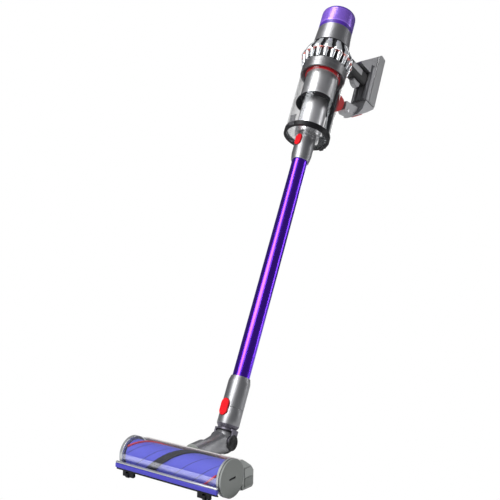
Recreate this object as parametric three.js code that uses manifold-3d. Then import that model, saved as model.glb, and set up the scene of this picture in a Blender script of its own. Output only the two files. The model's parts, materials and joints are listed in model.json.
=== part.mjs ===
// Cordless stick vacuum, standing on its cleaner head with the wand leaning back.
// Millimetres, +Z up. +X runs along the cleaner head's width, -Y is its front edge.
// The origin is the centre of the hand grip, where a user holds the machine.
import * as THREE from 'three';
import { mergeVertices } from 'three/addons/utils/BufferGeometryUtils.js';
import Module from 'manifold-3d';

const wasm = await Module();
wasm.setup();

// ---------------------------------------------------------------- driving dimensions
const GAP = 0.3; // between pieces that touch
const RUN = 0.4; // radial clearance of pieces that turn or slide
const RAD = Math.PI / 180;

const LEAN = 24.55; // wand's lean back from the vertical, degrees
const TURN = 9.75; // wand's turn about its own axis, towards +X, degrees
const ELBOW_Y = 139; // elbow pivot behind the roller's axis
const ELBOW_Z = 52.2; // elbow pivot above the floor

const HEAD_HALF = 131; // half of the cleaner head's width
const CAP_R = 35.2; // end cap's radius
const ROLL_Z = 36.2; // roller's axis above the floor
const ROLL_R = 29; // roller tube's radius
const ROLL_HALF = 118; // half of the roller's length
const STRIP_TURN = 1.45; // helix of the roller's strips, degrees per millimetre

const BALL_R = 27; // elbow ball's radius
const BALL_HALF = 20.4; // half of the ball's width between its flat sides
const DUCT_R = 19; // lower duct's radius
const SOCKET_R = 24.5; // radius of the cuffs at the wand's lower end
const SEAM_S = 70; // where wand and neck meet, along the wand from the elbow
const SOCKET_S = 33.7; // bottom of the neck's straight socket
const CUFF_TOP_S = 138; // top of the wand's lower cuff
const TUBE_R = 19.3; // wand tube's radius
const TUBE_WALL = 1.8;
const UPPER_CUFF_S = 687; // bottom of the wand's upper cuff
const UPPER_CUFF_R = 25;
const LID_S = 758; // underside of the bin's lid

const BIN_R = 57;
const BIN_WALL = 2;
const BIN_TOP_S = 938;
const LID_TOP_S = 770;
const LID_R = 58.6;
const COLLAR_R = 58.5;
const COLLAR_TOP_S = 967;
const SHROUD_R = 43;
const SHROUD_S = 870;
const INLET_R = 33;
const CONES = 14; // cyclones round the pack
const PACK_R = 69; // widest radius of the cyclone pack
const PACK_S = 990;
const HOUSING_S = 1034;
const HOUSING_R = 48.5;
const FILTER_S = 1087;
const FILTER_R = 45.4;
const TOP_S = 1147;

const GRIP_HALF = 17; // half of the grip's width
const GRIP_LOW_S = 1020;
const GRIP_HIGH_S = 1061;
const GRIP_END_R = 148; // where the grip meets the battery dock
const DOCK_R = 166; // back of the battery dock
const DOCK_HALF = 26;
const DOCK_LOW_S = 975;
const DOCK_HIGH_S = 1087;
const BATTERY_BACK_R = 197;
const BATTERY_HALF = 28;
const BATTERY_TOP_S = 1141;
const GRIP_CENTRE_R = 100;
const GRIP_CENTRE_S = (GRIP_LOW_S + GRIP_HIGH_S) / 2;

// ---------------------------------------------------------------- materials
function paint(color, roughness, metalness = 0) {
  return new THREE.MeshStandardMaterial({ color, roughness, metalness });
}
function clear(color, opacity) {
  return new THREE.MeshStandardMaterial({ color, roughness: 0.05, transparent: true, opacity });
}
const GUNMETAL = paint('#6b6b6c', 0.35, 0.6);
const SILVER = paint('#b9bcc2', 0.3, 0.7);
const PALE = paint('#c4c4c6', 0.4, 0.3);
const BLACK = paint('#17171a', 0.45);
const RUBBER = paint('#141416', 0.8);
const RED = paint('#c8101c', 0.35);
const PURPLE = paint('#4a18b8', 0.28, 0.8);
const VIOLET = paint('#3f36b4', 0.5);
const LAVENDER = paint('#8f8ee0', 0.8);
const STONE = paint('#7a7d79', 0.5);
const CHROME = paint('#d8d8dc', 0.08, 1);
const CLEAR = clear('#eef1f4', 0.25);
const TINTED = clear('#7a45e6', 0.6);
const PAPER = paint('#e9e6f2', 0.9);
const COPPER = paint('#b87346', 0.35, 0.8);
const SCREEN = paint('#06070a', 0.1);

// ---------------------------------------------------------------- solids
function toSolid(geometry) {
  const bare = geometry.index ? geometry.toNonIndexed() : geometry.clone();
  bare.deleteAttribute('normal');
  bare.deleteAttribute('uv');
  const merged = mergeVertices(bare, 1e-4);
  const triVerts = new Uint32Array(merged.index.array);
  const vertProperties = new Float32Array(merged.attributes.position.array);
  return new wasm.Manifold(new wasm.Mesh({ numProp: 3, vertProperties, triVerts }));
}
function toGeometry(solid) {
  const mesh = solid.getMesh();
  const geometry = new THREE.BufferGeometry();
  geometry.setAttribute('position', new THREE.BufferAttribute(mesh.vertProperties, 3));
  geometry.setIndex(new THREE.BufferAttribute(mesh.triVerts, 1));
  return geometry;
}
function cut(geometry, ...tools) {
  const solid = tools.reduce((left, tool) => left.subtract(toSolid(tool)), toSolid(geometry));
  return toGeometry(solid);
}
function join(geometry, ...others) {
  const solid = others.reduce((left, other) => left.add(toSolid(other)), toSolid(geometry));
  return toGeometry(solid);
}
function common(geometry, other) {
  return toGeometry(toSolid(geometry).intersect(toSolid(other)));
}

// A solid of revolution about Z from [radius, height] points; a ring's outline closes on itself.
function revolve(points, segments = 30) {
  const onAxis = points[0][0] === 0 && points[points.length - 1][0] === 0;
  const outline = onAxis ? points : [...points, points[0]];
  const profile = outline.map(([radius, height]) => new THREE.Vector2(radius, height));
  return new THREE.LatheGeometry(profile, segments).rotateX(90 * RAD);
}
function tube(outer, inner, low, high, segments = 30) {
  return revolve([[inner, low], [outer, low], [outer, high], [inner, high]], segments);
}
function rod(radius, low, high, segments = 24) {
  return new THREE.CylinderGeometry(radius, radius, high - low, segments)
    .rotateX(90 * RAD)
    .translate(0, 0, (low + high) / 2);
}
// The same two shapes along X.
function tubeX(outer, inner, low, high, segments = 30) {
  return tube(outer, inner, low, high, segments).rotateY(90 * RAD);
}
function rodX(radius, low, high, segments = 24) {
  return rod(radius, low, high, segments).rotateY(90 * RAD);
}
function block(xs, ys, zs) {
  const size = [xs, ys, zs].map(([low, high]) => high - low);
  const middle = [xs, ys, zs].map(([low, high]) => (low + high) / 2);
  return new THREE.BoxGeometry(...size).translate(...middle);
}
function roundedRectangle(halfWidth, low, high, radius) {
  const shape = new THREE.Shape();
  shape.moveTo(halfWidth - radius, low);
  shape.absarc(halfWidth - radius, low + radius, radius, -90 * RAD, 0, false);
  shape.absarc(halfWidth - radius, high - radius, radius, 0, 90 * RAD, false);
  shape.absarc(radius - halfWidth, high - radius, radius, 90 * RAD, 180 * RAD, false);
  shape.absarc(radius - halfWidth, low + radius, radius, 180 * RAD, 270 * RAD, false);
  return shape;
}
// Extrudes a shape along +Z between two heights.
function prism(shape, low, high, curveSegments = 6) {
  const settings = { depth: high - low, bevelEnabled: false, curveSegments };
  return new THREE.ExtrudeGeometry(shape, settings).translate(0, 0, low);
}
// Extrudes an outline of [y, z] points along X between two places.
function slab(points, low, high) {
  const shape = new THREE.Shape(points.map(([y, z]) => new THREE.Vector2(y, z)));
  return prism(shape, low, high).rotateY(90 * RAD).rotateX(90 * RAD);
}
// An oval button seen along Y: width along X, height along Z, between two depths.
function oval(width, height, centreZ, front, back) {
  const shape = roundedRectangle(width / 2, -height / 2, height / 2, width / 2 - 0.01);
  return prism(shape, -back, -front, 8).rotateX(90 * RAD).translate(0, 0, centreZ);
}

// ---------------------------------------------------------------- assembly tree
const vacuum = new THREE.Group();
const floor = new THREE.Group(); // head frame: roller axis over the floor
const elbow = new THREE.Group(); // the same, at the elbow pin
const mast = new THREE.Group(); // at the elbow pin, +Z along the wand
const upper = new THREE.Group(); // the same, turned about the wand; +Y is the handle side
vacuum.add(floor);
floor.add(elbow);
elbow.add(mast);
mast.add(upper);
elbow.position.set(0, ELBOW_Y, ELBOW_Z);
mast.rotation.x = -LEAN * RAD;
upper.rotation.z = -TURN * RAD;

function add(group, name, geometry, material) {
  const mesh = new THREE.Mesh(geometry, material);
  mesh.name = name;
  group.add(mesh);
}

// ---------------------------------------------------------------- cleaner head
const FRONT_Y = -43; // front face of the bumper
const REAR_Y = 68; // rear face of the motor box
const BAR_TOP = 28.4;
const BAR_LOW = 13.4;
const PLATE_IN = 120.5; // inner faces of the end plates
const WINDOW_IN = 32.6; // inner radius of the clear cover
const WINDOW_OUT = 34.8;
const WHEEL_X = 96;
const WHEEL_Y = 78;
const WHEEL_R = 7;
const DUCT_FALL = 4; // the lower duct's fall towards the head, degrees

// Lays a piece that runs along +Z so that it runs from the elbow to the head.
function ductAxis(geometry) {
  return geometry.rotateX((90 + DUCT_FALL) * RAD);
}

function onRoller(geometry) {
  return geometry.translate(0, 0, ROLL_Z);
}
// An arc-shaped strip on the roller, twisted into a helix about X.
function rollerStrip(startAngle, span, inner, outer) {
  const shape = new THREE.Shape();
  shape.absarc(0, 0, outer, 0, span * RAD, false);
  shape.absarc(0, 0, inner, span * RAD, 0, true);
  const settings = { depth: 2 * ROLL_HALF - 4, bevelEnabled: false, curveSegments: span > 10 ? 3 : 1, steps: 24 };
  const strip = new THREE.ExtrudeGeometry(shape, settings).translate(0, 0, 2 - ROLL_HALF);
  strip.rotateY(90 * RAD).rotateX(90 * RAD);
  const place = strip.attributes.position;
  for (let i = 0; i < place.count; i += 1) {
    const point = new THREE.Vector3().fromBufferAttribute(place, i);
    point.applyAxisAngle(new THREE.Vector3(1, 0, 0), -(startAngle + STRIP_TURN * point.x) * RAD);
    place.setXYZ(i, point.x, point.y, point.z);
  }
  return onRoller(strip);
}
function roller() {
  const core = tubeX(ROLL_R, ROLL_R - 3, -ROLL_HALF, ROLL_HALF, 34);
  const web = tubeX(ROLL_R - 2, 8, ROLL_HALF - 12, ROLL_HALF - 8, 34);
  add(floor, 'roller_core', onRoller(join(core, web)), LAVENDER);
  add(floor, 'bristle_band', rollerStrip(-113.5, 34, ROLL_R + 0.5, ROLL_R + 2.8), BLACK);
  add(floor, 'bristle_strip', rollerStrip(33, 7, ROLL_R + 0.5, ROLL_R + 3), RED);
  const motor = join(rodX(19, -70, 30), rodX(4, 25, 60, 16), rodX(12, -100, -65));
  add(floor, 'brush_motor', onRoller(motor), SILVER);
}
function endPieces() {
  const ear = join(rodX(CAP_R, -HEAD_HALF + 2, -PLATE_IN, 34), block([-HEAD_HALF + 2, -PLATE_IN], [5, 60], [-31, 8]));
  const boss = rodX(11.5, -PLATE_IN - 1, -100 - GAP);
  add(floor, 'left_end_plate', onRoller(join(ear, boss)), STONE);
  const ring = tubeX(CAP_R, 29, PLATE_IN, HEAD_HALF - 5, 34);
  const post = block([PLATE_IN, HEAD_HALF - 5], [20, 32.7], [-31, 4]);
  const right = cut(join(ring, post), rodX(29, PLATE_IN - 1, HEAD_HALF));
  add(floor, 'right_end_plate', onRoller(right), STONE);
  const face = rodX(CAP_R, HEAD_HALF - 5 + GAP, HEAD_HALF, 34);
  const plug = rodX(28.4, PLATE_IN + 1, HEAD_HALF - 4, 40);
  const stub = rodX(6, ROLL_HALF - 14, HEAD_HALF - 5, 24);
  const slot = block([HEAD_HALF - 2, HEAD_HALF + 1], [-9, 9], [-1.6, 1.6]);
  const cap = cut(join(face, plug, stub), slot.rotateX(4 * RAD));
  add(floor, 'end_cap', onRoller(cap), STONE);
  const bearing = tubeX(7.7, 6 + GAP, ROLL_HALF - 12, ROLL_HALF - 7, 24);
  add(floor, 'roller_bearing', onRoller(bearing), CHROME);
}
function frontPieces() {
  const bar = block([-HEAD_HALF, HEAD_HALF - 3], [FRONT_Y, -36.6], [BAR_LOW + 3, BAR_TOP - 3.3]);
  add(floor, 'front_bumper', bar, VIOLET);
  const rail = block([-HEAD_HALF, HEAD_HALF - 3], [FRONT_Y + 0.6, -36.6], [BAR_TOP - 3, BAR_TOP]);
  add(floor, 'front_rail', rail, SILVER);
  const lip = slab([[FRONT_Y + 1, BAR_LOW], [-33, BAR_LOW - 3], [-33, BAR_LOW - 1], [-36.6, BAR_LOW + 2.7],
    [FRONT_Y + 1, BAR_LOW + 2.7]], 3 - HEAD_HALF, HEAD_HALF - 6);
  const ears = [[-111, -102.6], [-94.4, -82], [82, 94.4], [102.6, 111]].map((xs) => block(xs, [-41, -36.6], [3, BAR_LOW + 1]));
  const joined = join(lip, ...ears);
  const axles = [-98.5, 98.5].map((x) => rodX(1.2, x - 5, x + 5, 12).translate(0, -38.8, 5.2));
  const drum = onRoller(rodX(CAP_R + GAP, -140, 140, 34));
  add(floor, 'front_lip', join(cut(joined, drum), ...axles), STONE);
  const frontWheel = (x) => tubeX(4.7, 1.5, x - 3.6, x + 3.6, 20).translate(0, -38.8, 5.2);
  add(floor, 'front_wheel_left', frontWheel(-98.5), RUBBER);
  add(floor, 'front_wheel_right', frontWheel(98.5), RUBBER);
}
function clearCover() {
  const arc = new THREE.Shape();
  arc.absarc(0, 0, WINDOW_OUT, 44 * RAD, 194 * RAD, false);
  arc.absarc(0, 0, WINDOW_IN, 194 * RAD, 44 * RAD, true);
  const shell = prism(arc, -PLATE_IN + GAP, PLATE_IN - GAP, 24).rotateY(90 * RAD).rotateX(90 * RAD);
  add(floor, 'roller_cover', onRoller(shell), CLEAR);
}
function combTeeth() {
  const spine = block([-112, 112], [26, 28.4], [19.8, 22.2]);
  const teeth = [];
  for (let x = -108; x <= 108; x += 12) {
    teeth.push(block([x - 1, x + 1], [24.7, 26.2], [21.2, 23]));
  }
  return join(spine, ...teeth);
}
function wheelFork(x) {
  const fork = block([x - 7, x + 7], [REAR_Y - 1, 84], [3, 12]);
  const slot = block([x - 4.5, x + 4.5], [REAR_Y + 2, 90], [-1, 20]);
  return join(cut(fork, slot), rodX(1.4, x - 6.5, x + 6.5, 12).translate(0, WHEEL_Y, WHEEL_R));
}
function chassis() {
  const outline = [[33, 5], [REAR_Y - 4, 5], [REAR_Y, 9], [REAR_Y, 36], [REAR_Y - 8, 46], [44, 56], [32, 63], [25, 63.8],
    [25, 50], [33, 40]];
  const body = slab(outline, -PLATE_IN + 2, HEAD_HALF - 2);
  const sole = block([-PLATE_IN + 2, PLATE_IN - 2], [33, REAR_Y - 2], [2.5, 8]);
  const room = block([-PLATE_IN + 6, PLATE_IN - 6], [31, REAR_Y - 4], [11, 38]);
  const drum = onRoller(rodX(CAP_R + 1, -140, 140, 34));
  const sleeve = ductAxis(rod(DUCT_R + 3, 66, 98)).translate(0, ELBOW_Y, ELBOW_Z);
  const shell = cut(join(body, sole, sleeve), room, drum);
  const mouth = ductAxis(rod(DUCT_R + RUN, 60, 92.6)).translate(0, ELBOW_Y, ELBOW_Z);
  const forks = [wheelFork(-WHEEL_X), wheelFork(WHEEL_X)];
  add(floor, 'chassis', join(cut(shell, mouth), ...forks), STONE);
  add(floor, 'comb', onRoller(combTeeth()), PALE);
  add(floor, 'glide', block([-90, 90], [38, 60], [0.2, 2.5 - GAP]), BLACK);
  for (const [side, x] of [['left', -WHEEL_X], ['right', WHEEL_X]]) {
    const wheel = tubeX(WHEEL_R, 1.8, x - 4, x + 4, 24).translate(0, WHEEL_Y, WHEEL_R);
    add(floor, `wheel_${side}`, wheel, RUBBER);
  }
}

roller();
endPieces();
frontPieces();
clearCover();
chassis();

// ---------------------------------------------------------------- neck
const YOKE_LOW_S = 22.4;
const YOKE_TOP_S = 26;
const ARM_IN = BALL_HALF + 0.6; // inner faces of the yoke's arms
const ARM_OUT = BALL_HALF + 4.2;
const EYE_R = 15;

function arcPoints(radius, from, to, count) {
  const points = [];
  for (let i = 0; i <= count; i += 1) {
    const angle = (from + ((to - from) * i) / count) * RAD;
    points.push([radius * Math.cos(angle), radius * Math.sin(angle)]);
  }
  return points;
}
// A ball with flat sides, across the elbow's pin.
function ball(radius, half = BALL_HALF) {
  const side = arcPoints(radius, -72, 72, 8);
  const whole = revolve([[0, -radius], ...side, [0, radius]], 32).rotateY(90 * RAD);
  return common(whole, block([-half, half], [-60, 60], [-60, 60]));
}
// The half of the elbow's ball that the ribbed bellows covers, behind and below.
function bellowsSide(offset) {
  return block([-60, 60], [offset, 60], [-60, 60]).rotateX(-30 * RAD);
}
// Where the air leaves the ball for the neck.
function airWindow() {
  return block([-10, 10], [-11, 11], [10, 40]).rotateX(-LEAN * RAD);
}
function lowerDuct() {
  const outline = [[0, 0], [23.4, 0], [23.4, 14], [20.4, 34], [DUCT_R, 52], [DUCT_R, 92], [0, 92]];
  const eyes = [[-40, -BALL_HALF], [BALL_HALF, 40]].map((xs) => rodX(EYE_R + 0.6, ...xs));
  const pipe = cut(ductAxis(revolve(outline, 30)), ...eyes);
  const bore = ductAxis(rod(DUCT_R - 2.5, 0, 93, 28));
  const boss = rodX(8, -BALL_HALF, BALL_HALF, 28);
  const hollow = cut(ball(BALL_R - 2.5, BALL_HALF - 2.5), boss);
  const shell = cut(join(ball(BALL_R), cut(pipe, ball(BALL_R - 1))), bellowsSide(0), hollow);
  const pinHole = rodX(2.5 + RUN, -60, 60, 20);
  add(elbow, 'lower_duct', cut(join(shell, boss), bore, pinHole, airWindow()), GUNMETAL);
}
// A ribbed ball that the neck tilts round, open at its ends for the elbow's pin.
function bellows() {
  const ribs = 7;
  const outline = [];
  for (let i = 0; i <= ribs * 2; i += 1) {
    const angle = (-48 + (96 * i) / (ribs * 2)) * RAD;
    const radius = i % 2 ? BALL_R - 0.2 : BALL_R - 2.2;
    outline.push([radius * Math.cos(angle), radius * Math.sin(angle)]);
  }
  const skin = revolve([...outline, ...arcPoints(BALL_R - 4.5, 48, -48, 6)], 32).rotateY(90 * RAD);
  const front = block([-60, 60], [-60, GAP], [-60, 60]).rotateX(-30 * RAD);
  add(elbow, 'bellows', cut(skin, front, rodX(8 + GAP, -60, 60, 28), airWindow()), RUBBER);
}
function yoke() {
  const ring = tube(20.2, 16, YOKE_LOW_S, YOKE_TOP_S);
  const arms = [[-ARM_OUT, -ARM_IN, -ARM_OUT, -17], [ARM_IN, ARM_OUT, 17, ARM_OUT]].flatMap(([low, high, near, far]) => [
    rodX(EYE_R, low, high, 32),
    block([low, high], [-9, 9], [0, YOKE_TOP_S]),
    block([near, far], [-9, 9], [YOKE_LOW_S, YOKE_TOP_S]),
  ]);
  const ballRoom = common(revolve([[0, -28], ...arcPoints(BALL_R + 0.5, -72, 72, 8), [0, 28]], 32).rotateY(90 * RAD),
    block([-ARM_IN, ARM_IN], [-60, 60], [-60, 60]));
  const pinHole = rodX(2.5 + GAP, -60, 60, 20);
  add(mast, 'yoke', cut(join(ring, ...arms), ballRoom, pinHole, rod(16, 0, 30)), GUNMETAL);
  add(mast, 'elbow_pin', rodX(2.5, -ARM_OUT, ARM_OUT, 20), CHROME);
}
const LATCH_TRAVEL = 1.5;
const HEAD_LATCH_S = 67.5;
const HEAD_LATCH_BACK = -22.5;

function headLatchPocket() {
  return oval(23, 38, HEAD_LATCH_S, -40, HEAD_LATCH_BACK + LATCH_TRAVEL + GAP);
}
function neckSocket() {
  const body = revolve([[13.2, 24.2], [15.6, 24.2], [15.6, YOKE_TOP_S + GAP], [20.2, YOKE_TOP_S + GAP],
    [SOCKET_R, SOCKET_S], [SOCKET_R, SEAM_S - GAP], [21.2, SEAM_S - GAP], [21.2, 37], [17.5, 33.5]], 36);
  add(upper, 'neck_socket', cut(body, headLatchPocket()), GUNMETAL);
  add(upper, 'head_latch', oval(21.6, 36, HEAD_LATCH_S, -SOCKET_R - 1.6, HEAD_LATCH_BACK), RED);
}
lowerDuct();
bellows();
yoke();
neckSocket();

// ---------------------------------------------------------------- wand
const WAND_LATCH_S = 738;
const WAND_LATCH_BACK = -23.3;

function wand() {
  const spigot = 20.8;
  const seat = 118; // the tube's lower end sits here in the cuff
  const low = revolve([[17.5, 38], [spigot, 38], [spigot, SEAM_S], [SOCKET_R, SEAM_S], [SOCKET_R, CUFF_TOP_S - 12],
    [TUBE_R + 2.2, CUFF_TOP_S], [TUBE_R + GAP, CUFF_TOP_S], [TUBE_R + GAP, seat], [17.5, seat]]);
  add(upper, 'lower_cuff', cut(low, headLatchPocket()), GUNMETAL);
  add(upper, 'wand_tube', tube(TUBE_R, TUBE_R - TUBE_WALL, seat + GAP, UPPER_CUFF_S + 25), PURPLE);
  const ledge = UPPER_CUFF_S + 25 + GAP;
  const high = revolve([[TUBE_R + GAP, UPPER_CUFF_S], [TUBE_R + 2.7, UPPER_CUFF_S], [UPPER_CUFF_R, UPPER_CUFF_S + 18],
    [UPPER_CUFF_R, LID_S - 9], [UPPER_CUFF_R - 1.4, LID_S - 2], [20.8, LID_S - 2], [20.8, ledge], [TUBE_R + GAP, ledge]]);
  const latchPocket = oval(19.4, 31.4, WAND_LATCH_S, -40, WAND_LATCH_BACK + LATCH_TRAVEL + GAP);
  add(upper, 'upper_cuff', cut(high, latchPocket), GUNMETAL);
  add(upper, 'wand_latch', oval(18, 30, WAND_LATCH_S, -UPPER_CUFF_R - 2, WAND_LATCH_BACK), RED);
}
wand();

// ---------------------------------------------------------------- bin and its lid
const HINGE_Y = 61.5; // lid's hinge pin behind the wand's axis
const HINGE_S = 764;

function lid() {
  const ring = tube(LID_R, 51.3, LID_S, LID_TOP_S, 40);
  const knuckle = block([-5.5, 5.5], [56, 64.5], [LID_S + 1, HINGE_S + 4]);
  const bore = rodX(2.2, -20, 20, 16).translate(0, HINGE_Y, HINGE_S);
  add(upper, 'lid_ring', cut(join(ring, cut(knuckle, rod(54, 700, 800))), bore), BLACK);
  add(upper, 'lid_window', tube(51, 20.7, LID_S + 0.2, LID_S + 3.2, 40), CLEAR);
  const nozzle = revolve([[17.5, 716], [20.4, 716], [20.4, LID_S + 3.5], [31, LID_S + 3.5], [INLET_R, 783.4],
    [INLET_R - 2.5, 783.4], [28.5, LID_S + 6.5], [17.5, LID_S + 6.5]]);
  add(upper, 'lid_nozzle', nozzle, SILVER);
}
function bin() {
  const shell = tube(BIN_R, BIN_R - BIN_WALL, LID_TOP_S + 0.4, BIN_TOP_S, 40);
  const boss = cut(block([-5, 5], [-59, -BIN_R + 1.5], [778, 786]), rod(BIN_R - BIN_WALL + 0.5, 700, 800, 40));
  add(upper, 'bin_shell', join(shell, boss), CLEAR);
  const plate = block([-12, 12], [50, 65], [LID_TOP_S + 2.5, 800]);
  const ears = [[-12, -6.2], [6.2, 12]].flatMap((xs) => [
    block(xs, [59, 65], [HINGE_S, LID_TOP_S + 4]),
    rodX(2.6, ...xs, 16).translate(0, HINGE_Y, HINGE_S),
  ]);
  const wall = rod(BIN_R + GAP, 700, 900, 40);
  const ringRoom = rod(LID_R + GAP, LID_S - 2, LID_TOP_S + 2.5, 40);
  const bracket = join(cut(join(plate, ...ears), wall, ringRoom), rodX(1.8, -11.5, 11.5, 16).translate(0, HINGE_Y, HINGE_S));
  add(upper, 'hinge_bracket', bracket, BLACK);
  const hook = slab([[-63, 757], [-60.5, 755.5], [-59.1, 757.5], [-59.1, 768], [-59.5, 770], [-59.5, 789], [-63, 786]], -8, 8);
  add(upper, 'lid_catch', hook, PALE);
}
lid();
bin();

// ---------------------------------------------------------------- cyclone and motor
// A ring whose outer points are pressed in between the cones, by depth at most.
function lobedRing(points, depth, baseRadius) {
  const ring = revolve(points, CONES * 4);
  const place = ring.attributes.position;
  for (let i = 0; i < place.count; i += 1) {
    const [x, y] = [place.getX(i), place.getY(i)];
    const radius = Math.hypot(x, y);
    const between = 1 - Math.abs(Math.cos((CONES / 2) * Math.atan2(y, x)));
    const room = Math.max(0, Math.min(1, (radius - baseRadius) / 6));
    const pressed = radius - depth * between * room;
    place.setXY(i, (x * pressed) / radius, (y * pressed) / radius);
  }
  return ring;
}
function cyclone() {
  const inlet = tube(INLET_R - 0.4, INLET_R - 2.8, 784, 936);
  add(upper, 'inlet_duct', inlet, GUNMETAL);
  const skirt = revolve([[40.5, 868], [47.6, 856], [48.4, 853], [50, 853], [50, 856], [43.2, SHROUD_S - 0.4],
    [40.5, SHROUD_S - 0.4]], 34);
  add(upper, 'skirt', skirt, BLACK);
  add(upper, 'shroud', tube(SHROUD_R, SHROUD_R - 2, SHROUD_S, 939.5, 34), SILVER);
  add(upper, 'red_ring', tube(45.7, 38, 939.8, 949, 34), RED);
  const collar = revolve([[46.2, 949.3], [55, 939.4], [COLLAR_R, 939.4], [COLLAR_R, COLLAR_TOP_S], [46.2, COLLAR_TOP_S]], 40);
  add(upper, 'collar', collar, GUNMETAL);
  const cones = lobedRing([[44, COLLAR_TOP_S + GAP], [57, COLLAR_TOP_S + GAP], [60, 969], [66.5, PACK_S - 3],
    [66.5, PACK_S - GAP], [44, PACK_S - GAP]], 8, 52);
  add(upper, 'cyclone_cones', cones, CHROME);
  const pack = lobedRing([[56, PACK_S], [66.5, PACK_S], [PACK_R, 992], [68.2, 998], [64.5, 1008], [58.5, 1019],
    [52.5, 1029], [50, HOUSING_S - GAP], [44.5, HOUSING_S - GAP], [44.5, 1027], [52, 1011], [56, 998]], 6, 52);
  add(upper, 'cyclone_pack', pack, CHROME);
}
function motor() {
  const housing = revolve([[44.5, HOUSING_S], [HOUSING_R, HOUSING_S], [FILTER_R + 0.2, FILTER_S - GAP], [42, FILTER_S - GAP]], 34);
  add(upper, 'motor_housing', housing, GUNMETAL);
  const can = revolve([[8, 1042], [27, 1042], [27, 1080], [24, 1080], [24, 1045], [8, 1045]], 28);
  const feet = [0, 120, 240].map((angle) => block([25, 43], [-4, 4], [1050, 1056]).rotateZ(angle * RAD));
  add(upper, 'motor_can', cut(join(can, ...feet), rod(24, 1045, 1090, 28)), SILVER);
  const blades = [];
  for (let i = 0; i < 9; i += 1) {
    blades.push(block([6, 24], [-0.9, 0.9], [1014, 1028]).rotateZ(i * 40 * RAD));
  }
  const hub = revolve([[0, 1010], [7, 1012], [10, 1030], [0, 1030]], 24);
  add(upper, 'rotor', join(rod(3, 1011, 1078, 16), hub, rod(20, 1050, 1074), ...blades), COPPER);
}
function rear() {
  const cap = revolve([[43.2, FILTER_S], [FILTER_R, FILTER_S], [FILTER_R, 1139], [44, 1144], [41, 1146.6], [36, TOP_S],
    [31.3, 1145.5], [31.3, 1142.6], [41, 1142.6], [43.2, 1138]], 34);
  add(upper, 'filter_cap', cap, TINTED);
  const shape = new THREE.Shape();
  const pleats = 32;
  for (let i = 0; i <= pleats * 2; i += 1) {
    const radius = i % 2 ? 42 : 36;
    const angle = (i % (pleats * 2)) * (180 / pleats) * RAD;
    const point = [radius * Math.cos(angle), radius * Math.sin(angle)];
    shape[i ? 'lineTo' : 'moveTo'](...point);
  }
  const hole = new THREE.Path().absarc(0, 0, 33, 0, 360 * RAD, true);
  shape.holes.push(hole);
  add(upper, 'filter_pleats', prism(shape, FILTER_S + 3, 1137, 12), PAPER);
  const core = revolve([[26, FILTER_S], [30.8, FILTER_S], [30.8, 1143], [21.6, 1143], [21.6, 1139], [18, 1139], [18, 1136],
    [26, 1136]], 34);
  const buttonRoom = rod(3.4, 1140.4, 1150, 20).translate(0, 26.3, 0);
  add(upper, 'rear_core', cut(core, buttonRoom), BLACK);
  add(upper, 'display', rod(21.3, 1139.4, 1142.2, 34), SCREEN);
  add(upper, 'mode_button', rod(3, 1141.9, 1144, 20).translate(0, 26.3, 0), SILVER);
}
cyclone();
motor();
rear();

// ---------------------------------------------------------------- handle
// Extrudes a shape drawn across the wand and along it, away from the wand between two distances.
function outward(shape, near, far) {
  return prism(shape, -far, -near, 8).rotateX(90 * RAD);
}
function grip() {
  const section = roundedRectangle(GRIP_HALF, GRIP_LOW_S, GRIP_HIGH_S, 10);
  const bodyRoom = revolve([[0, 980], [71, 980], [71, 992], [66, 1009], [60, 1020], [54, 1030], [50, 1036], [47.5, 1088],
    [0, 1088]], 40);
  const inner = roundedRectangle(GRIP_HALF - 1.6, GRIP_LOW_S, GRIP_HIGH_S - 1.6, 8.4);
  const band = [80, 124];
  const below = block([-30, 30], [60, 140], [1000, 1036]);
  const saddle = cut(outward(section, ...band), outward(inner, 70, 140), below);
  const bar = cut(outward(section, 44, GRIP_END_R), bodyRoom);
  const around = roundedRectangle(GRIP_HALF + 1, GRIP_LOW_S, GRIP_HIGH_S + 1, 11);
  const within = roundedRectangle(GRIP_HALF - 1.9, GRIP_LOW_S, GRIP_HIGH_S - 1.9, 8.1);
  const recess = cut(outward(around, band[0] - GAP, band[1] + GAP), outward(within, 70, 140),
    block([-30, 30], [60, 140], [1000, 1036 - GAP]));
  const triggerRoom = block([-7.6, 7.6], [105.4, 136.6], [1010, 1026]);
  add(upper, 'grip', cut(bar, recess, triggerRoom), RUBBER);
  add(upper, 'grip_saddle', saddle, PALE);
  const trigger = slab([[106, 1020.6], [106, 1012], [115, 1004], [127, 1002], [136, 1010], [136, 1020.6]], -7, 7);
  add(upper, 'trigger', trigger, PALE);
}
function dock() {
  const plate = block([-DOCK_HALF, DOCK_HALF], [157, DOCK_R], [DOCK_LOW_S, DOCK_HIGH_S + 3]);
  const columns = [-17.2, 0, 17.2].map((x) => rod(8.7, DOCK_LOW_S, DOCK_HIGH_S, 28).translate(x, 157.5, 0));
  const heel = slab([[104, GRIP_HIGH_S + 0.4], [147.5, GRIP_HIGH_S + 0.4], [147.5, DOCK_HIGH_S + 1], [DOCK_R, DOCK_HIGH_S + 1],
    [DOCK_R, 1130.5], [104, 1068.5]], -24, 24);
  const behind = block([-60, 60], [DOCK_R, 200], [900, 1200]);
  add(upper, 'battery_dock', cut(join(plate, ...columns, heel), behind), GUNMETAL);
}
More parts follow.
